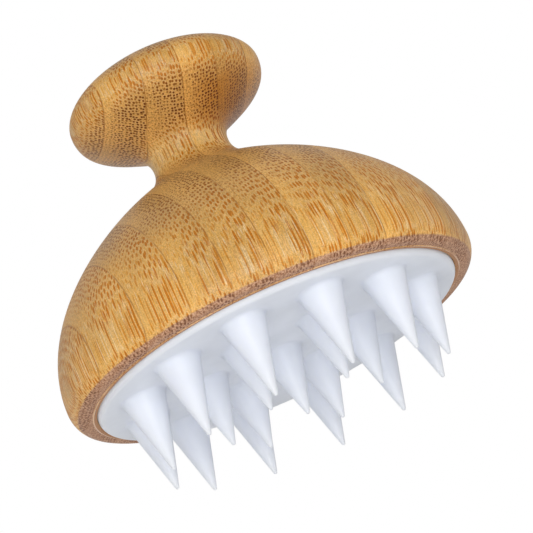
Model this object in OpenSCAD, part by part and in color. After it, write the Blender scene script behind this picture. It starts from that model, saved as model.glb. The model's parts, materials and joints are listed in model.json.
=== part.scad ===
// Scalp massager brush: a mushroom-shaped handle turned from glued bamboo strips, with a soft silicone
// pad and its bristles pushed into a round recess underneath.
// Origin: on the centre axis, level with the tips of the outer bristles. +Z points up to the knob.

/* [Dome] */
// Diameter of the dome at its widest line
dome_d = 90; // [70:1:110]
// Width of the rounding between the widest line and the flat rim
edge_w = 3; // [1:0.5:5]
// Height of the widest line above the flat rim
edge_h = 4.2; // [2:0.1:8]
// Radius of the circle where the dome's slope turns over into the neck
shoulder_r = 16.7; // [13:0.1:22]
// Height of that circle above the flat rim
shoulder_h = 38; // [30:0.5:48]
// Slope of the dome where it meets the neck, in degrees
shoulder_slope = 25.7; // [15:0.5:40]

/* [Neck and knob] */
// Diameter of the neck at its thinnest
neck_d = 17.3; // [14:0.1:22]
// Height from the shoulder to the thinnest part of the neck
neck_rise = 8.1; // [5:0.1:12]
// Radius of the circle where the neck turns into the underside of the knob
under_r = 14.6; // [12:0.1:19]
// Height from the thinnest part of the neck to that circle
under_rise = 6.6; // [4:0.1:10]
// Slope of the underside of the knob, in degrees
under_slope = 29.8; // [15:0.5:45]
// Diameter of the knob
knob_d = 43.5; // [36:0.5:52]
// Height from the underside circle to the widest line of the knob
knob_rise = 7.7; // [5:0.1:10]
// Height from the widest line of the knob to its top
crown_rise = 8.7; // [6:0.1:14]

/* [Bamboo strips] */
// Width of one glued strip
strip_w = 8; // [5:0.5:12]
// Distance from the centre axis to the nearest glue line
glue_shift = -1.2; // [-4:0.1:4]

/* [Recess] */
// Width of the flat rim between the rounding and the recess
rim_w = 2.1; // [0.5:0.1:6]
// Depth of the recess above the flat rim
recess_h = 4; // [2:0.5:8]
// Width of the small bevel at the mouth of the recess
mouth_bevel = 0.3; // [0.1:0.1:0.5]

/* [Pad] */
// Gap between the pad's edge and the recess wall
pad_gap = 0.1; // [0.05:0.05:0.5]
// How far the pad stands out below the rim
pad_proud = 1.2; // [0.5:0.1:4]
// Radius of the rounded edge of the pad's face
pad_round = 1.2; // [0.3:0.1:3]
// Turn of the pad in its recess, in degrees
pad_turn = -11.5; // [-30:0.5:30]

/* [Bristles] */
// Length of the bristles of the outer ring, from the pad's face
outer_len = 16.2; // [8:0.1:22]
// Length of the inner ring's bristles and the centre one
inner_len = 14.3; // [7:0.1:20]
// Distance from the pad's edge in to the outer ring
outer_ring_in = 8.8; // [7:0.1:14]
// Radius of the inner ring, as a share of the outer ring's radius
inner_share = 0.53; // [0.45:0.01:0.6]
// Number of bristles in the outer ring
outer_count = 12; // [6:1:14]
// Number of bristles in the inner ring
inner_count = 6; // [3:1:8]
// Diameter of a bristle at its root
root_d = 9.4; // [5:0.1:10]
// Width of the flare that blends a bristle into the pad's face
flare_w = 0.7; // [0.2:0.1:1.5]
// Height of that flare
flare_h = 1.2; // [0.5:0.1:3]
// Diameter of the rounded tip
tip_d = 0.9; // [0.6:0.1:2]

/* [Hidden] */
$fn = 128;
face_z = outer_len;
rim_z = face_z + pad_proud;
dome_r = dome_d / 2;
neck_r = neck_d / 2;
knob_r = knob_d / 2;
recess_r = dome_r - edge_w - rim_w;
pad_r = recess_r - pad_gap;
outer_ring_r = pad_r - outer_ring_in;
inner_ring_r = outer_ring_r * inner_share;
neck_z = rim_z + shoulder_h + neck_rise;
top_z = neck_z + under_rise + knob_rise + crown_rise;
far = dome_d + top_z;

// A glue line closer than this to the dome's edge isn't cut, so no strip is a sliver.
thinnest = 1;
first_line = ceil((thinnest - dome_r - glue_shift) / strip_w);
last_line = floor((dome_r - thinnest - glue_shift) / strip_w);

// Strip i lies between glue lines i and i + 1. The outermost two reach past the wood.
strips = [first_line - 1:last_line];
function low_x(i) = i < first_line ? -far : glue_shift + strip_w * i;
function high_x(i) = i == last_line ? far : glue_shift + strip_w * (i + 1);

// Turning leaves a strip in one piece where it runs through the neck. Beyond the neck, a strip is cut
// in two: one piece in the dome and one in the knob.
function spans(i, r) = low_x(i) < r - 0.01 && high_x(i) > 0.01 - r;
function split(i) = spans(i, knob_r) && !spans(i, neck_r);
knob_only = [for (i = strips) if (split(i)) i];

// Strips are counted outwards from the glue line beside the axis: left is towards -X, right towards +X.
function side(i) = i < 0 ? "left" : "right";
function order(i) = i < 0 ? -i : i + 1;
function strip_name(i) = str(side(i), "_strip_", order(i));
function knob_name(i) = str(side(i), "_knob_strip_", order(i));
function outer_name(i) = str("outer_bristle_", i);
function inner_name(i) = str("inner_bristle_", i);

// Node to draw, or all of them

// A smooth curve from a to b that leaves a in the direction lean_a and meets b in the direction lean_b.
// The pulls set how far it follows each direction, as a share of the distance from a to b.
function aim(degrees) = [cos(degrees), sin(degrees)];
function curve(a, b, lean_a, lean_b, pull_a, pull_b, steps) =
    let (c = a + norm(b - a) * pull_a * aim(lean_a), d = b - norm(b - a) * pull_b * aim(lean_b))
    [for (k = [1:steps]) let (t = k / steps, u = 1 - t)
        u * u * u * a + 3 * u * u * t * c + 3 * u * t * t * d + t * t * t * b];

// Outline of the turned handle, from the flat rim round the outside to the top, and back in by the recess.
rim_point = [dome_r - edge_w, rim_z];
widest_point = [dome_r, rim_z + edge_h];
shoulder_point = [shoulder_r, rim_z + shoulder_h];
neck_point = [neck_r, neck_z];
under_point = [under_r, neck_z + under_rise];
knob_point = [knob_r, neck_z + under_rise + knob_rise];
handle_outline = concat(
    [rim_point],
    curve(rim_point, widest_point, 0, 90, 0.39, 0.39, 6),
    curve(widest_point, shoulder_point, 90, 180 - shoulder_slope, 0.344, 0.345, 14),
    curve(shoulder_point, neck_point, 180 - shoulder_slope, 90, 0.43, 0.36, 7),
    curve(neck_point, under_point, 90, under_slope, 0.42, 0.41, 6),
    curve(under_point, knob_point, under_slope, 90, 0.52, 0.37, 9),
    curve(knob_point, [0, top_z], 90, 180, 0.19, 0.555, 12),
    [
        [0, rim_z + recess_h],
        [recess_r, rim_z + recess_h],
        [recess_r, rim_z + mouth_bevel],
        [recess_r + mouth_bevel, rim_z]
    ]
);

module turned_handle() {
    rotate_extrude() polygon(handle_outline);
}

module strip_slab(i, low_z, high_z) {
    translate([low_x(i), -far, low_z])
        cube([high_x(i) - low_x(i), 2 * far, high_z - low_z]);
}

// One strip of the handle, without the piece in the knob where turning has cut it off.
module bamboo_strip(i) {
    shade = abs(i % 2);
    color([0.80 - 0.04 * shade, 0.56 - 0.04 * shade, 0.27 - 0.03 * shade])
        intersection() {
            turned_handle();
            strip_slab(i, 0, split(i) ? neck_z : far);
        }
}

module knob_strip(i) {
    color([0.72, 0.50, 0.24])
        intersection() {
            turned_handle();
            strip_slab(i, neck_z, far);
        }
}

// The disc of the pad: its back lies on the floor of the recess.
module pad() {
    color([0.93, 0.94, 0.97])
        rotate_extrude()
            polygon(concat(
                [[0, face_z]],
                [[pad_r - pad_round, face_z]],
                curve([pad_r - pad_round, face_z], [pad_r, face_z + pad_round], 0, 90, 0.39, 0.39, 8),
                [[pad_r, rim_z + recess_h]],
                [[0, rim_z + recess_h]]
            ));
}

// A cone with a flared root and a ball tip, standing on its root.
module bristle(length) {
    tip_r = tip_d / 2;
    root_r = root_d / 2;
    taper = atan((root_r - tip_r) / (length - tip_r));
    flare_top = [root_r - flare_h * tan(taper), flare_h];
    color([0.93, 0.94, 0.97])
        rotate_extrude($fn = 64)
            polygon(concat(
                [[0, 0]],
                [[root_r + flare_w, 0]],
                curve([root_r + flare_w, 0], flare_top, 180, 90 + taper, 0.35, 0.45, 5),
                [for (k = [0:6]) [0, length - tip_r] + tip_r * aim(taper + (90 - taper) * k / 6)]
            ));
}

// Bristles hang from the pad's face, at an angle round the axis.
module place_bristle(ring_r, angle, length) {
    rotate([0, 0, pad_turn + angle])
        translate([ring_r, 0, face_z])
            mirror([0, 0, 1])
                bristle(length);
}

module outer_bristle(i) {
    step = 360 / outer_count;
    place_bristle(outer_ring_r, step * (i - 0.5), outer_len);
}

module inner_bristle(i) {
    place_bristle(inner_ring_r, 360 / inner_count * (i - 1), inner_len);
}

module centre_bristle() {
    place_bristle(0, 0, inner_len);
}

for (i = strips) bamboo_strip(i);
for (i = knob_only) knob_strip(i);
pad();
for (i = [1:outer_count]) outer_bristle(i);
for (i = [1:inner_count]) inner_bristle(i);
centre_bristle();
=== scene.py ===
import json
import math
import bmesh
import bpy
from mathutils import Matrix, Vector


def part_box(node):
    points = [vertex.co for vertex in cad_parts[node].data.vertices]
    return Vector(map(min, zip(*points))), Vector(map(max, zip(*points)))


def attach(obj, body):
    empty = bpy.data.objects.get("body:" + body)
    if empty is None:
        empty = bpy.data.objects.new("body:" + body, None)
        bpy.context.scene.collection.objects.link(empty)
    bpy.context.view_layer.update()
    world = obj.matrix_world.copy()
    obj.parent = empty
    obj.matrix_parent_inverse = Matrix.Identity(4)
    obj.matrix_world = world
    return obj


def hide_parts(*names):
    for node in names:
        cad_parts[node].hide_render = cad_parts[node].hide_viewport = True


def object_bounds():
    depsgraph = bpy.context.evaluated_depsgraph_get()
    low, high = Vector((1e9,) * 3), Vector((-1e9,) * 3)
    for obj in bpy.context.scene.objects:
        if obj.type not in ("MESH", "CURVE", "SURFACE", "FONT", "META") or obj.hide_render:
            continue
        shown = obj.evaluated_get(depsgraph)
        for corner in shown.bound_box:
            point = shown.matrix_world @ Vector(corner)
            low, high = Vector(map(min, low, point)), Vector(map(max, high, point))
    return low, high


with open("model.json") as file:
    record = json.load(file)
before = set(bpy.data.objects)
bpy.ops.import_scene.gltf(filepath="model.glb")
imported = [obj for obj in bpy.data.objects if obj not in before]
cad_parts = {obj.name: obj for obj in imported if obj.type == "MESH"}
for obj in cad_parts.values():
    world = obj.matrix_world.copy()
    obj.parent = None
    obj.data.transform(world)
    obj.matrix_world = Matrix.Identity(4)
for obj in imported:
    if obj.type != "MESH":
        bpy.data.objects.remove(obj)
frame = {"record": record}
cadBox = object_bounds()
print("frame loaded")

mm = 0.001
scene = bpy.context.scene

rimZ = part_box("right_strip_1")[0].z
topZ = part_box("right_strip_1")[1].z
padLow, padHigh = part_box("pad")
bodies = frame["record"]["behaviour"]["bodies"]


# the view: from below the rim, with the brush tipped over to the left
viewpoint = {
    "azimuth": -109.5,      # where the camera stands round the axis, in degrees from +X
    "elevation": -18.08,    # below the rim's level
    "roll": -24.77,
    "distance": 454.8 * mm,
    "aimHeight": 30 * mm,   # point on the axis, above the rim
    "aimRight": 9.517 * mm,
    "aimUp": -9.378 * mm,
    "angle": 14,            # width of the view, in degrees
}


def placeCamera():
    v = viewpoint
    azimuth, elevation, roll = (math.radians(v[k]) for k in ("azimuth", "elevation", "roll"))
    back = Vector((math.cos(azimuth) * math.cos(elevation),
                   math.sin(azimuth) * math.cos(elevation),
                   math.sin(elevation)))
    levelRight = Vector((-math.sin(azimuth), math.cos(azimuth), 0))
    levelUp = back.cross(levelRight)
    right = levelRight * math.cos(roll) + levelUp * math.sin(roll)
    up = levelUp * math.cos(roll) - levelRight * math.sin(roll)
    target = Vector((0, 0, rimZ + v["aimHeight"])) + right * v["aimRight"] + up * v["aimUp"]
    lens = bpy.data.cameras.new("viewpoint")
    lens.sensor_width = 36
    lens.lens = 18 / math.tan(math.radians(v["angle"]) / 2)
    lens.clip_start = 0.01
    camera = bpy.data.objects.new("viewpoint", lens)
    scene.collection.objects.link(camera)
    place = Matrix((right, up, back)).transposed().to_4x4()
    place.translation = target + back * v["distance"]
    camera.matrix_world = place
    scene.camera = camera
    return right, up, back


viewRight, viewUp, viewBack = placeCamera()
print("camera placed")


# short ways to add nodes to a material
def addNode(tree, kind, inputs=None, **settings):
    node = tree.nodes.new(kind)
    for name, value in settings.items():
        setattr(node, name, value)
    for key, value in (inputs or {}).items():
        socket = node.inputs[key]
        if isinstance(value, bpy.types.NodeSocket):
            tree.links.new(value, socket)
        else:
            socket.default_value = value
    return node


def calc(tree, operation, a, b=0.0, c=0.0):
    node = addNode(tree, "ShaderNodeMath", {0: a, 1: b, 2: c}, operation=operation)
    return node.outputs[0]


def ramp(tree, value, low, high, outLow=0.0, outHigh=1.0):
    # smooth rise from outLow to outHigh as value goes from low to high
    node = addNode(tree, "ShaderNodeMapRange",
                   {"Value": value, "From Min": low, "From Max": high, "To Min": outLow, "To Max": outHigh},
                   interpolation_type="SMOOTHSTEP")
    return node.outputs["Result"]


def band(tree, value, rise, full, fade, end):
    # nothing, then a smooth rise, a full stretch and a smooth fall
    return product(tree, ramp(tree, value, rise, full), ramp(tree, value, fade, end, 1, 0))


def product(tree, first, *rest):
    for factor in rest:
        first = calc(tree, "MULTIPLY", first, factor)
    return first


def blendColor(tree, amount, a, b, mode="MIX"):
    node = addNode(tree, "ShaderNodeMix", data_type="RGBA", blend_type=mode, clamp_factor=True)
    for index, value in ((0, amount), (6, a), (7, b)):
        if isinstance(value, bpy.types.NodeSocket):
            tree.links.new(value, node.inputs[index])
        else:
            node.inputs[index].default_value = value if index == 0 else (*value, 1)
    return node.outputs[2]


def noise(tree, vector, scale, detail=2.0, roughness=0.5, stretch=(1, 1, 1)):
    moved = addNode(tree, "ShaderNodeVectorMath", {0: vector, 1: stretch}, operation="MULTIPLY").outputs[0]
    node = addNode(tree, "ShaderNodeTexNoise",
                   {"Vector": moved, "Scale": scale, "Detail": detail, "Roughness": roughness})
    return node.outputs[0]


def placeInMillimetres(tree):
    spot = addNode(tree, "ShaderNodeTexCoord")
    place = addNode(tree, "ShaderNodeVectorMath", {0: spot.outputs["Object"], 1: (1 / mm, 1 / mm, 1 / mm)},
                    operation="MULTIPLY").outputs[0]
    return spot, place


def newMaterial(name):
    material = bpy.data.materials.new(name)
    material.use_nodes = True
    tree = material.node_tree
    tree.nodes.clear()
    shader = tree.nodes.new("ShaderNodeBsdfPrincipled")
    output = tree.nodes.new("ShaderNodeOutputMaterial")
    tree.links.new(shader.outputs[0], output.inputs[0])
    return material, tree, shader


bamboo = {
    "stripWidth": 8.0,                 # lengths in millimetres
    "glueShift": -1.2,
    "glueWidth": 0.09,
    "bundleSpacing": 0.70,
    "fineSpacing": 0.36,
    "wander": 0.15,
    "dotSize": (0.15, 0.25),           # on the open and the dense side of a strip, as shares of the spacing
    "haloStrength": 0.62,
    "drawnOut": 0.22,                  # how much longer the streaks get towards the widest line
    "stripTone": (0.90, 1.06),         # from the darkest strip to the palest
    "cloudTone": 0.08,
    "hairTone": 0.08,
    "poreTone": 0.20,
    "dullShare": 0.40,
    "warmShare": 0.10,
    "neckLightBand": (-5, -1, 1, 4),        # heights over the neck where the painted light comes and goes
    "knobShadeBand": (0, 3, 7, 13),         # the same for the painted shade under the knob
    # across the knob, where the painted shade sets in
    "knobShadeSide": (-5, 7),
    "rimBand": (1.3, 1.6),
    "sideGround": (0.745, 0.420, 0.112),
    "endGround": (0.830, 0.465, 0.130),
    "dullGround": (0.605, 0.304, 0.060),
    "warmTint": (0.600, 0.300, 0.060),
    # painted light on the neck
    "neckLight": (0.900, 0.600, 0.210),
    "sideFibre": (0.530, 0.165, 0.001),
    "endFibre": (0.120, 0.020, 0.001),
    "sideHalo": (0.680, 0.290, 0.008),
    "endHalo": (0.420, 0.140, 0.003),
    "paleFibre": (0.830, 0.620, 0.340),
    "knobShade": (0.720, 0.560, 0.300),   # painted shade: a darker tint on one side under the knob
    "glue": (0.270, 0.085, 0.008),
    "rimGround": (0.340, 0.150, 0.070),
    "rimPale": (0.620, 0.370, 0.230),
    "rimFibre": (0.160, 0.055, 0.020),
    "ledge": (0.430, 0.200, 0.080),
    # painted highlight on the edge of the ledge
    "ledgeHighlight": (0.780, 0.600, 0.470),
    "roughness": 0.40,
    "shine": 0.28,
    "coat": 0.15,
    "coatRoughness": 0.22,
    "grainRelief": 0.00016,
}


def fibreRods(tree, x, y, across, place, shift):
    # bundles are rods along the axis that wander a little, thick on one side of each strip
    b = bamboo
    sway = noise(tree, place, 0.035, 1.0, 0.4)
    rodX = calc(tree, "ADD", x, calc(tree, "MULTIPLY_ADD", sway, 2 * b["wander"], -b["wander"]))
    # towards the widest line the bundles lie closer to the surface and show longer
    reachY = calc(tree, "SUBTRACT", (cadBox[1].x / mm) ** 2, calc(tree, "MULTIPLY", x, x))
    bent = calc(tree, "DIVIDE", calc(tree, "MULTIPLY", y, y), calc(tree, "MAXIMUM", reachY, 100))
    bent = calc(tree, "MINIMUM", bent, 1)
    squeeze = calc(tree, "MULTIPLY_ADD", bent, -b["drawnOut"], 1 + b["drawnOut"] / 2.2)
    drawnY = calc(tree, "MULTIPLY", y, squeeze)
    rodY = calc(tree, "MULTIPLY_ADD", shift, 61.0, drawnY)
    rodY = calc(tree, "ADD", rodY, calc(tree, "MULTIPLY", sway, -b["wander"]))
    rods = addNode(tree, "ShaderNodeCombineXYZ", {0: rodX, 1: rodY}).outputs[0]
    patch = calc(tree, "SUBTRACT", noise(tree, place, 0.13, 2.0, 0.5, (1, 1, 0.4)), 0.5)
    dense = ramp(tree, calc(tree, "MULTIPLY_ADD", patch, 0.9, across), -0.20, 0.85)
    return rods, dense


def rodCells(tree, rods, spacing, randomness):
    cells = addNode(tree, "ShaderNodeTexVoronoi",
                    {"Vector": rods, "Scale": 1 / spacing, "Randomness": randomness},
                    voronoi_dimensions="2D")
    luck = addNode(tree, "ShaderNodeSeparateColor", {0: cells.outputs["Color"]})
    return cells.outputs["Distance"], luck.outputs


def bundleMasks(tree, rods, dense):
    # the dark core of each bundle, the orange halo round it and the pale sheath between
    b = bamboo
    distance, luck = rodCells(tree, rods, b["bundleSpacing"], 0.55)
    size = calc(tree, "MULTIPLY_ADD", luck[0], 0.08, ramp(tree, dense, 0, 1, *b["dotSize"]))
    gap = calc(tree, "SUBTRACT", distance, size)
    strength = product(tree, ramp(tree, dense, 0.0, 0.75, 0.30, 1), ramp(tree, luck[1], 0, 0.6, 0.55, 1))
    core = ramp(tree, gap, -0.03, 0.06, 1, 0)
    halo = product(tree, ramp(tree, gap, -0.02, 0.26, 1, 0), strength, b["haloStrength"])
    sheath = product(tree, band(tree, gap, 0.04, 0.16, 0.16, 0.34), strength, 0.35)
    return core, product(tree, core, strength), halo, sheath


def threadMasks(tree, rods, dense, steep, place):
    # fine fibres between the bundles; on the steep sides some are pale and some burnt orange
    distance, luck = rodCells(tree, rods, bamboo["fineSpacing"], 0.85)
    rod = ramp(tree, distance, 0.15, 0.50, 1, 0)
    longRod = product(tree, rod, ramp(tree, steep, 0.62, 0.30))
    ebb = noise(tree, place, 1.0, 1.0, 0.5, (0.5, 0.5, 0.13))
    fine = product(tree, rod, ramp(tree, dense, 0.2, 1, 0.85, 0.40), luck[2])
    pale = product(tree, ramp(tree, luck[0], 0.60, 0.75), longRod,
                   ramp(tree, steep, 0.50, 0.25, 0.10, 1), ramp(tree, ebb, 0.32, 0.55, 0.10, 0.80))
    burnt = product(tree, ramp(tree, luck[1], 0.55, 0.70), longRod,
                    ramp(tree, ebb, 0.62, 0.42, 0.25, 1.0), ramp(tree, dense, 0.1, 0.9, 0.20, 0.90))
    return fine, pale, burnt


def rimColor(tree, place, core, dense, mottle):
    # the rim was faced off after the turning; a turned ledge round the pad gets a painted highlight along
    # its edge
    b = bamboo
    speck = noise(tree, place, 2.6, 3.0, 0.8)
    rim = blendColor(tree, ramp(tree, speck, 0.42, 0.60), b["rimGround"], b["rimPale"])
    rim = blendColor(tree, product(tree, core, ramp(tree, dense, 0, 1, 0.35, 0.85)), rim, b["rimFibre"])
    flat = addNode(tree, "ShaderNodeVectorMath", {0: place, 1: (1, 1, 0)}, operation="MULTIPLY").outputs[0]
    radius = addNode(tree, "ShaderNodeVectorMath", {0: flat}, operation="LENGTH").outputs["Value"]
    edge = padHigh.x / mm + handle["recessGap"] + handle["lipGap"] + handle["lipWidth"]
    rim = blendColor(tree, ramp(tree, radius, edge - 0.10, edge, 0.85, 0), rim, b["ledge"])
    edgeHighlight = product(tree, band(tree, radius, edge - 0.22, edge - 0.12, edge + 0.02, edge + 0.14),
                     ramp(tree, mottle, 0.40, 0.60, 0.15, 0.95))
    return blendColor(tree, edgeHighlight, rim, b["ledgeHighlight"])


def glueMask(tree, lines, place):
    # strong here and hardly seen there
    b = bamboo
    away = product(tree, calc(tree, "PINGPONG", lines, 0.5), b["stripWidth"])
    number = calc(tree, "ADD", calc(tree, "ROUND", lines), 0.37)
    luck = addNode(tree, "ShaderNodeTexWhiteNoise", {"W": number}, noise_dimensions="1D").outputs["Value"]
    worn = noise(tree, place, 0.22, 2.0, 0.6)
    return product(tree, ramp(tree, away, b["glueWidth"] * 0.4, b["glueWidth"] * 2.0, 1, 0),
                   ramp(tree, luck, 0, 1, 0.15, 0.65), ramp(tree, worn, 0.35, 0.6, 0.25, 1))


def bambooMaterial():
    b = bamboo
    material, tree, shader = newMaterial("lacquered_bamboo")
    spot, place = placeInMillimetres(tree)
    x, y, z = addNode(tree, "ShaderNodeSeparateXYZ", {0: place}).outputs
    overNeck = calc(tree, "SUBTRACT", z, rimZ / mm + handle["neck"][1])
    # which strip this is, and how far across it
    lines = calc(tree, "DIVIDE", calc(tree, "SUBTRACT", x, b["glueShift"]), b["stripWidth"])
    luck = addNode(tree, "ShaderNodeTexWhiteNoise", {"W": calc(tree, "FLOOR", lines)}, noise_dimensions="1D")
    luckParts = addNode(tree, "ShaderNodeSeparateColor", {0: luck.outputs["Color"]})
    toneLuck, warmLuck, shiftLuck = luckParts.outputs
    rods, dense = fibreRods(tree, x, y, calc(tree, "FRACT", lines), place, shiftLuck)

    # end grain where the surface lies across the fibres, long grain where it runs along them
    facing = addNode(tree, "ShaderNodeSeparateXYZ", {0: spot.outputs["Normal"]}).outputs[2]
    steep = calc(tree, "ABSOLUTE", facing)
    endGrain = ramp(tree, steep, 0.35, 0.80)
    core, coreMask, haloMask, sheathMask = bundleMasks(tree, rods, dense)
    fineMask, paleMask, burntMask = threadMasks(tree, rods, dense, steep, place)
    thread = noise(tree, place, 1.0, 3.0, 0.62, (3.6, 3.6, 0.05))
    hair = noise(tree, place, 1.0, 2.0, 0.65, (9.0, 9.0, 0.5))
    pore = noise(tree, place, 3.6, 2.0, 0.7)
    mottle = noise(tree, place, 0.09, 3.0, 0.55, (1, 1, 0.5))

    # painted light: the neck is painted paler than the rest, where the front light falls on it
    ground = blendColor(tree, endGrain, b["sideGround"], b["endGround"])
    ground = blendColor(tree, ramp(tree, dense, 0, 1, 0.0, b["dullShare"]), ground, b["dullGround"])
    neckLit = product(tree, band(tree, overNeck, *b["neckLightBand"]), ramp(tree, mottle, 0.35, 0.60, 0.45, 0.90))
    ground = blendColor(tree, neckLit, ground, b["neckLight"])
    fibre = blendColor(tree, ramp(tree, steep, 0.55, 0.92), b["sideFibre"], b["endFibre"])
    halo = blendColor(tree, endGrain, b["sideHalo"], b["endHalo"])
    color = blendColor(tree, fineMask, ground, halo)
    color = blendColor(tree, haloMask, color, halo)
    color = blendColor(tree, burntMask, color, b["sideFibre"])
    color = blendColor(tree, sheathMask, color, b["paleFibre"])
    color = blendColor(tree, coreMask, color, fibre)
    color = blendColor(tree, paleMask, color, b["paleFibre"])

    # strips differ a little in tone, and the wood is cloudy within a strip
    tone = ramp(tree, toneLuck, 0, 1, *b["stripTone"])
    for pattern, amount in ((mottle, b["cloudTone"]), (hair, b["hairTone"]), (pore, b["poreTone"])):
        tone = calc(tree, "ADD", tone, ramp(tree, pattern, 0.3, 0.7, -amount, amount))
    tone = addNode(tree, "ShaderNodeCombineColor", {0: tone, 1: tone, 2: tone}).outputs[0]
    color = blendColor(tree, 1.0, color, tone, "MULTIPLY")
    color = blendColor(tree, product(tree, warmLuck, b["warmShare"]), color, b["warmTint"])

    # painted shade on one side under the knob, darker where the light doesn't reach
    knobShade = product(tree, ramp(tree, x, *b["knobShadeSide"]), band(tree, overNeck, *b["knobShadeBand"]),
                     ramp(tree, mottle, 0.35, 0.60, 0.55, 1))
    color = blendColor(tree, knobShade, color, blendColor(tree, 1.0, color, b["knobShade"], "MULTIPLY"))

    rimMask = product(tree, ramp(tree, calc(tree, "SUBTRACT", z, rimZ / mm), *b["rimBand"], 1, 0),
                      ramp(tree, calc(tree, "MULTIPLY_ADD", pore, 0.12, facing), -0.68, -0.58, 1, 0))
    color = blendColor(tree, rimMask, color, rimColor(tree, place, core, dense, mottle))
    lineMask = glueMask(tree, lines, place)
    color = blendColor(tree, lineMask, color, b["glue"])
    tree.links.new(color, shader.inputs["Base Color"])

    # bare rim and open vessels are duller than the lacquer
    rough = ramp(tree, mottle, 0.3, 0.7, b["roughness"] - 0.05, b["roughness"] + 0.05)
    rough = calc(tree, "MULTIPLY_ADD", coreMask, 0.12, rough)
    rough = calc(tree, "MULTIPLY_ADD", rimMask, 0.18, rough)
    tree.links.new(rough, shader.inputs["Roughness"])
    shader.inputs["Specular IOR Level"].default_value = b["shine"]
    shader.inputs["Coat Weight"].default_value = b["coat"]
    shader.inputs["Coat Roughness"].default_value = b["coatRoughness"]

    # open vessels dip, threads stand up
    height = calc(tree, "MULTIPLY", coreMask, -0.6)
    height = calc(tree, "MULTIPLY_ADD", thread, 0.6, height)
    height = calc(tree, "MULTIPLY_ADD", hair, 0.4, height)
    height = calc(tree, "MULTIPLY_ADD", lineMask, -0.3, height)
    bump = addNode(tree, "ShaderNodeBump", {"Height": height, "Strength": 0.5, "Distance": b["grainRelief"]})
    tree.links.new(bump.outputs[0], shader.inputs["Normal"])
    return material


handle = {
    "edgeWidth": 3.0,              # rounding between the widest line and the rim, in millimetres
    "edgeHeight": 4.2,
    "shoulder": (16.7, 38.0),      # radius and height over the rim, where the dome turns into the neck
    "shoulderSlope": 25.7,
    "neck": (8.65, 46.1),
    "under": (14.6, 52.7),
    "underSlope": 29.8,
    "knob": (21.75, 60.4),
    "domePull": (0.344, 0.345),    # how far each curve keeps its direction at its two ends
    "throatPull": (0.43, 0.36),
    "underPull": (0.42, 0.41),
    "knobPull": (0.52, 0.37),
    "crownPull": (0.19, 0.555),
    "roundPull": (0.39, 0.39),
    "recessGap": 0.1,
    "mouthBevel": 0.25,
    "lipGap": 0.15,
    "lipWidth": 0.80,              # raised lip round the mouth of the recess
    "lipHeight": 0.14,
    "lipRound": 0.12,
    "spokes": 320,
}


def curve(a, b, leanA, leanB, pullA, pullB, steps):
    # a smooth curve that leaves a and meets b in the given directions
    a, b = Vector(a), Vector(b)
    span = (b - a).length
    first = a + span * pullA * Vector((math.cos(math.radians(leanA)), math.sin(math.radians(leanA))))
    second = b - span * pullB * Vector((math.cos(math.radians(leanB)), math.sin(math.radians(leanB))))
    points = []
    for k in range(1, steps + 1):
        t = k / steps
        u = 1 - t
        points.append(u ** 3 * a + 3 * u * u * t * first + 3 * u * t * t * second + t ** 3 * b)
    return points


def handleOutline():
    # heights above the rim, from the floor of the recess round the outside to the top
    h = handle
    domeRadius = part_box("right_strip_1")[1].y / mm
    recessRadius = padHigh.x / mm + h["recessGap"]
    floor = (padHigh.z - rimZ) / mm
    lipOuter = recessRadius + h["lipGap"] + h["lipWidth"]
    mouth = (recessRadius, h["mouthBevel"])
    lipInside = (recessRadius + 2 * h["lipGap"], -h["lipHeight"])
    lipEdge = (lipOuter - h["lipRound"], -h["lipHeight"])
    rimPoint = (domeRadius - h["edgeWidth"], 0)
    widest = (domeRadius, h["edgeHeight"])
    top = (0, (topZ - rimZ) / mm)
    slope, under = h["shoulderSlope"], h["underSlope"]
    points = [Vector((0, floor)), Vector((recessRadius * 0.5, floor)), Vector((recessRadius, floor))]
    points += [Vector(mouth)]
    points += curve(mouth, lipInside, 270, 0, *h["roundPull"], 5)
    points += curve(lipEdge, (lipOuter, 0), 0, 90, *h["roundPull"], 4)
    points += [Vector((lipOuter + 0.02, 0)), Vector(rimPoint)]
    points += curve(rimPoint, widest, 0, 90, *h["roundPull"], 14)
    points += curve(widest, h["shoulder"], 90, 180 - slope, *h["domePull"], 40)
    points += curve(h["shoulder"], h["neck"], 180 - slope, 90, *h["throatPull"], 18)
    points += curve(h["neck"], h["under"], 90, under, *h["underPull"], 16)
    points += curve(h["under"], h["knob"], under, 90, *h["knobPull"], 20)
    points += curve(h["knob"], top, 90, 180, *h["crownPull"], 28)
    return [Vector((p.x * mm, p.y * mm + rimZ)) for p in points]


def outlineNormals(points):
    # outward normals; a zero normal marks a sharp corner
    normals = []
    for i, point in enumerate(points):
        before = (point - points[i - 1]).normalized() if i > 0 else Vector((1, 0))
        after = (points[i + 1] - point).normalized() if i < len(points) - 1 else Vector((-1, 0))
        if before.angle(after, 0) > math.radians(35):
            normals.append(Vector((0, 0)))
        else:
            along = (before + after).normalized()
            normals.append(Vector((along.y, -along.x)))
    return normals


def turnOnLathe(points, spokes):
    # a closed turned body; each vertex keeps its true normal
    bm = bmesh.new()
    keep = bm.verts.layers.float_vector.new("turned")
    rows = []
    for point, normal in zip(points, outlineNormals(points)):
        count = spokes if point.x > 1e-6 else 1
        row = []
        for k in range(count):
            angle = 2 * math.pi * (k + 0.5) / spokes
            vert = bm.verts.new((point.x * math.cos(angle), point.x * math.sin(angle), point.y))
            vert[keep] = (normal.x * math.cos(angle), normal.x * math.sin(angle), normal.y)
            row.append(vert)
        rows.append(row)
    for lower, upper in zip(rows, rows[1:]):
        for k in range(spokes):
            corners = [lower[k % len(lower)], lower[(k + 1) % len(lower)],
                       upper[(k + 1) % len(upper)], upper[k % len(upper)]]
            face = bm.faces.new(list(dict.fromkeys(corners)))
            face.smooth = True
    return bm


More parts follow.
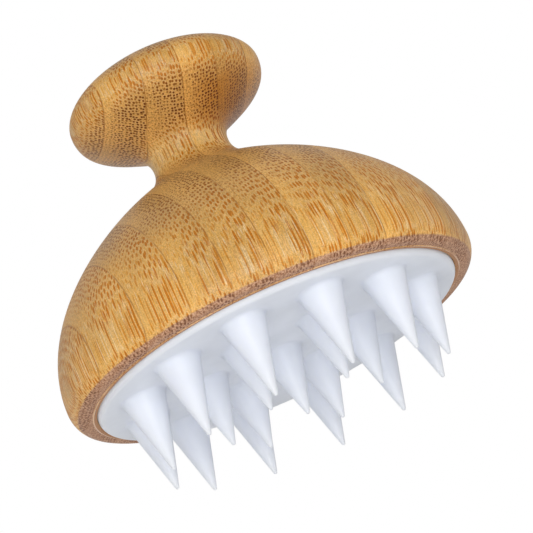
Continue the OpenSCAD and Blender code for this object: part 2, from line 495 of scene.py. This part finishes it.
def sawOff(bm, place, direction):
    # cuts the body with a plane, drops what lies beyond it and closes the cut
    geometry = bm.verts[:] + bm.edges[:] + bm.faces[:]
    bmesh.ops.bisect_plane(bm, geom=geometry, dist=1e-7, plane_co=place, plane_no=direction,
                           clear_outer=True)
    loose = [e for e in bm.edges if e.is_boundary]
    closed = bmesh.ops.holes_fill(bm, edges=loose, sides=0)["faces"]
    for face in closed:
        face.smooth = False
    bmesh.ops.triangulate(bm, faces=closed)


def finishPiece(bm, name, material, body, nodes):
    mesh = bpy.data.meshes.new(name)
    keep = bm.verts.layers.float_vector.get("turned")
    bm.normal_update()
    loops = []
    if keep:
        for face in bm.faces:
            for vert in face.verts:
                true = Vector(vert[keep])
                fits = face.smooth and true.length > 0.5 and true.normalized().dot(face.normal) > 0.93
                loops.append(tuple(true.normalized() if fits else face.normal))
    bm.to_mesh(mesh)
    bm.free()
    if loops:
        mesh.normals_split_custom_set(loops)
    mesh.materials.append(material)
    piece = bpy.data.objects.new(name, mesh)
    scene.collection.objects.link(piece)
    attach(piece, body)
    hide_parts(*nodes)
    return piece


def isGlueLine(x):
    lines = (x / mm - bamboo["glueShift"]) / bamboo["stripWidth"]
    return abs(lines - round(lines)) < 0.02


def cutStrips():
    blank = turnOnLathe(handleOutline(), handle["spokes"])
    neckZ = rimZ + handle["neck"][1] * mm
    nodes = bodies["handle"]
    for node in nodes:
        low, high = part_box(node)
        strip = blank.copy()
        # a strip that turning cut in two is one node in the dome and one in the knob
        if low.z > neckZ - 0.001 or high.z < neckZ + 0.001:
            inKnob = low.z > neckZ - 0.001
            sawOff(strip, (0, 0, neckZ), (0, 0, -1 if inKnob else 1))
        if isGlueLine(low.x):
            sawOff(strip, (low.x, 0, 0), (-1, 0, 0))
        if isGlueLine(high.x):
            sawOff(strip, (high.x, 0, 0), (1, 0, 0))
        finishPiece(strip, node + "_turned", bambooFinish, "handle", [node])
    blank.free()
    return len(nodes)


bambooFinish = bambooMaterial()
print("bamboo finish made")
print("bamboo strips cut:", cutStrips())


silicone = {
    "color": (0.740, 0.770, 0.840),
    "cloudShade": 0.965,
    "dust": (0.600, 0.620, 0.660),
    "roughness": 0.42,
    "glow": 0.60,            # how much light travels inside it
    "glowReach": 0.0045,
}


def siliconeMaterial():
    s = silicone
    material, tree, shader = newMaterial("white_silicone")
    spot, place = placeInMillimetres(tree)
    cloud = noise(tree, place, 0.12, 3.0, 0.5)
    dust = noise(tree, place, 2.6, 2.0, 0.6)
    skin = noise(tree, place, 5.0, 2.0, 0.6)
    shaded = tuple(c * s["cloudShade"] for c in s["color"])
    color = blendColor(tree, ramp(tree, cloud, 0.35, 0.65), s["color"], shaded)
    color = blendColor(tree, ramp(tree, dust, 0.66, 0.80, 0, 0.10), color, s["dust"])
    tree.links.new(color, shader.inputs["Base Color"])
    tree.links.new(ramp(tree, cloud, 0.3, 0.7, s["roughness"] - 0.04, s["roughness"] + 0.06),
                   shader.inputs["Roughness"])
    shader.inputs["Subsurface Weight"].default_value = s["glow"]
    shader.inputs["Subsurface Radius"].default_value = (1.0, 1.0, 1.1)
    shader.inputs["Subsurface Scale"].default_value = s["glowReach"]
    shader.inputs["Specular IOR Level"].default_value = 0.4
    bump = addNode(tree, "ShaderNodeBump", {"Height": skin, "Strength": 0.12, "Distance": 0.00008})
    tree.links.new(bump.outputs[0], shader.inputs["Normal"])
    return material


siliconeFinish = siliconeMaterial()


# the pad and its bristles, moulded in one
pad = {
    "edgeRound": 1.2,        # in millimetres, like the next five
    "backBevel": 0.4,
    "rootDiameter": 9.4,
    "flareWidth": 0.7,
    "flareHeight": 1.2,
    "tipDiameter": 0.9,
    "spokes": 200,
    "edgeSteps": 10,
    "bristleSpokes": 40,
    "bristleSteps": 8,
}


def bristleRows(length):
    # radius and depth below the face, from the flare to just short of the tip
    p = pad
    root, tip = p["rootDiameter"] / 2, p["tipDiameter"] / 2
    taper = math.degrees(math.atan((root - tip) / (length - tip)))
    start = (root + p["flareWidth"], 0)
    flareTop = (root - p["flareHeight"] * math.tan(math.radians(taper)), p["flareHeight"])
    rows = [Vector(start)] + curve(start, flareTop, 180, 90 + taper, 0.45, 0.45, p["bristleSteps"])
    steps = p["bristleSteps"]
    roundTip = []
    for k in range(steps):
        angle = math.radians(taper + (90 - taper) * k / steps)
        roundTip.append(Vector((tip * math.cos(angle), length - tip + tip * math.sin(angle))))
    rows += [Vector(flareTop).lerp(roundTip[0], k / steps) for k in range(1, steps)]
    return rows + roundTip


def ring(bm, centre, radius, height, count):
    verts = []
    for k in range(count):
        angle = 2 * math.pi * k / count
        spot = (centre[0] + radius * math.cos(angle), centre[1] + radius * math.sin(angle), height)
        verts.append(bm.verts.new(spot))
    return verts


def bridge(bm, first, second):
    count = len(first)
    for k in range(count):
        bm.faces.new((first[k], first[(k + 1) % count], second[(k + 1) % count], second[k]))


def mouldPad():
    p = pad
    bm = bmesh.new()
    faceZ = padLow.z
    radius = padHigh.x
    corner = p["edgeRound"] * mm
    bevel = p["backBevel"] * mm
    nodes = bodies["pad"]
    # the rim of the pad, from the flat face round to the back
    rows = [ring(bm, (0, 0), radius - corner, faceZ, p["spokes"])]
    for k in range(1, p["edgeSteps"] + 1):
        angle = math.radians(90 * k / p["edgeSteps"])
        rows.append(ring(bm, (0, 0), radius - corner + corner * math.sin(angle),
                         faceZ + corner - corner * math.cos(angle), p["spokes"]))
    rows.append(ring(bm, (0, 0), radius, padHigh.z - bevel, p["spokes"]))
    rows.append(ring(bm, (0, 0), radius - bevel, padHigh.z, p["spokes"]))
    for first, second in zip(rows, rows[1:]):
        bridge(bm, first, second)
    bm.faces.new(rows[-1])
    outline = [bm.edges.get((rows[0][k - 1], rows[0][k])) for k in range(p["spokes"])]
    # each bristle grows out of a round opening in the face
    for node in nodes:
        if node == "pad":
            continue
        low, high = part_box(node)
        centre = ((low.x + high.x) / 2, (low.y + high.y) / 2)
        length = (high.z - low.z) / mm
        last = None
        for row in bristleRows(length):
            circle = ring(bm, centre, row.x * mm, faceZ - row.y * mm, p["bristleSpokes"])
            if last is None:
                outline += [bm.edges.new((circle[k - 1], circle[k])) for k in range(p["bristleSpokes"])]
            else:
                bridge(bm, last, circle)
            last = circle
        tip = bm.verts.new((centre[0], centre[1], low.z))
        for k in range(p["bristleSpokes"]):
            bm.faces.new((last[k], last[(k + 1) % p["bristleSpokes"]], tip))
    bmesh.ops.triangle_fill(bm, use_beauty=True, use_dissolve=False, edges=outline)
    bmesh.ops.recalc_face_normals(bm, faces=bm.faces[:])
    for face in bm.faces:
        face.smooth = True
    piece = finishPiece(bm, "silicone_pad", siliconeFinish, "pad", nodes)
    piece.data.set_sharp_from_angle(angle=math.radians(40))
    return piece


mouldPad()
print("pad moulded")


studio = {
    "floorDrop": 0.60,       # the floor lies well below, so that the brush can be seen from underneath
    "floorSize": 8.0,
    "floorColor": (0.90, 0.90, 0.90),
    "floorLift": 0.42,
    "skyTop": 0.50,
    "skyBottom": 1.15,
    "keyPower": 3.6,
    "keySize": 0.6,
    "keyPlace": (-0.05, 0.20, 0.95),     # metres to the right, up and back as the camera sees it
    "fillPower": 1.9,
    "fillSize": 0.7,
    "fillPlace": (0.10, -0.40, 0.50),
}


def softbox(name, offset, size, power):
    # a square lamp that looks at the middle of the handle
    light = bpy.data.lights.new(name, "AREA")
    light.shape = "SQUARE"
    light.size = size
    light.energy = power
    lamp = bpy.data.objects.new(name, light)
    scene.collection.objects.link(lamp)
    lamp.visible_camera = False
    centre = Vector((0, 0, rimZ + 25 * mm))
    lamp.location = centre + viewRight * offset[0] + viewUp * offset[1] + viewBack * offset[2]
    lamp.rotation_euler = (lamp.location - centre).to_track_quat("Z", "Y").to_euler()
    return lamp


def buildStudio():
    s = studio
    bpy.ops.mesh.primitive_plane_add(size=s["floorSize"], location=(0, 0, -s["floorDrop"]))
    floor = bpy.context.object
    floor.name = "floor"
    material, tree, shader = newMaterial("pale_floor")
    shader.inputs["Base Color"].default_value = (*s["floorColor"], 1)
    shader.inputs["Roughness"].default_value = 0.8
    shader.inputs["Emission Color"].default_value = (1, 1, 1, 1)
    # seen straight on it is as pale as the backdrop, and it throws back no more light for that
    straight = addNode(tree, "ShaderNodeLightPath").outputs["Is Camera Ray"]
    tree.links.new(calc(tree, "MULTIPLY", straight, s["floorLift"]), shader.inputs["Emission Strength"])
    floor.data.materials.append(material)

    world = bpy.data.worlds.new("studio")
    scene.world = world
    world.use_nodes = True
    tree = world.node_tree
    tree.nodes.clear()
    direction = addNode(tree, "ShaderNodeTexCoord").outputs["Generated"]
    height = addNode(tree, "ShaderNodeSeparateXYZ", {0: direction}).outputs[2]
    level = ramp(tree, height, -0.5, 0.4, s["skyBottom"], s["skyTop"])
    # lit surfaces see the soft gradient, the backdrop itself is plain white
    ray = addNode(tree, "ShaderNodeLightPath").outputs["Is Camera Ray"]
    level = calc(tree, "ADD", calc(tree, "MULTIPLY", level, calc(tree, "SUBTRACT", 1.0, ray)), ray)
    back = addNode(tree, "ShaderNodeBackground", {"Color": (1, 1, 1, 1), "Strength": level})
    output = addNode(tree, "ShaderNodeOutputWorld")
    tree.links.new(back.outputs[0], output.inputs[0])

    softbox("key_light", s["keyPlace"], s["keySize"], s["keyPower"])
    softbox("fill_light", s["fillPlace"], s["fillSize"], s["fillPower"])
    scene.view_settings.view_transform = "Standard"


buildStudio()
print("studio lit")
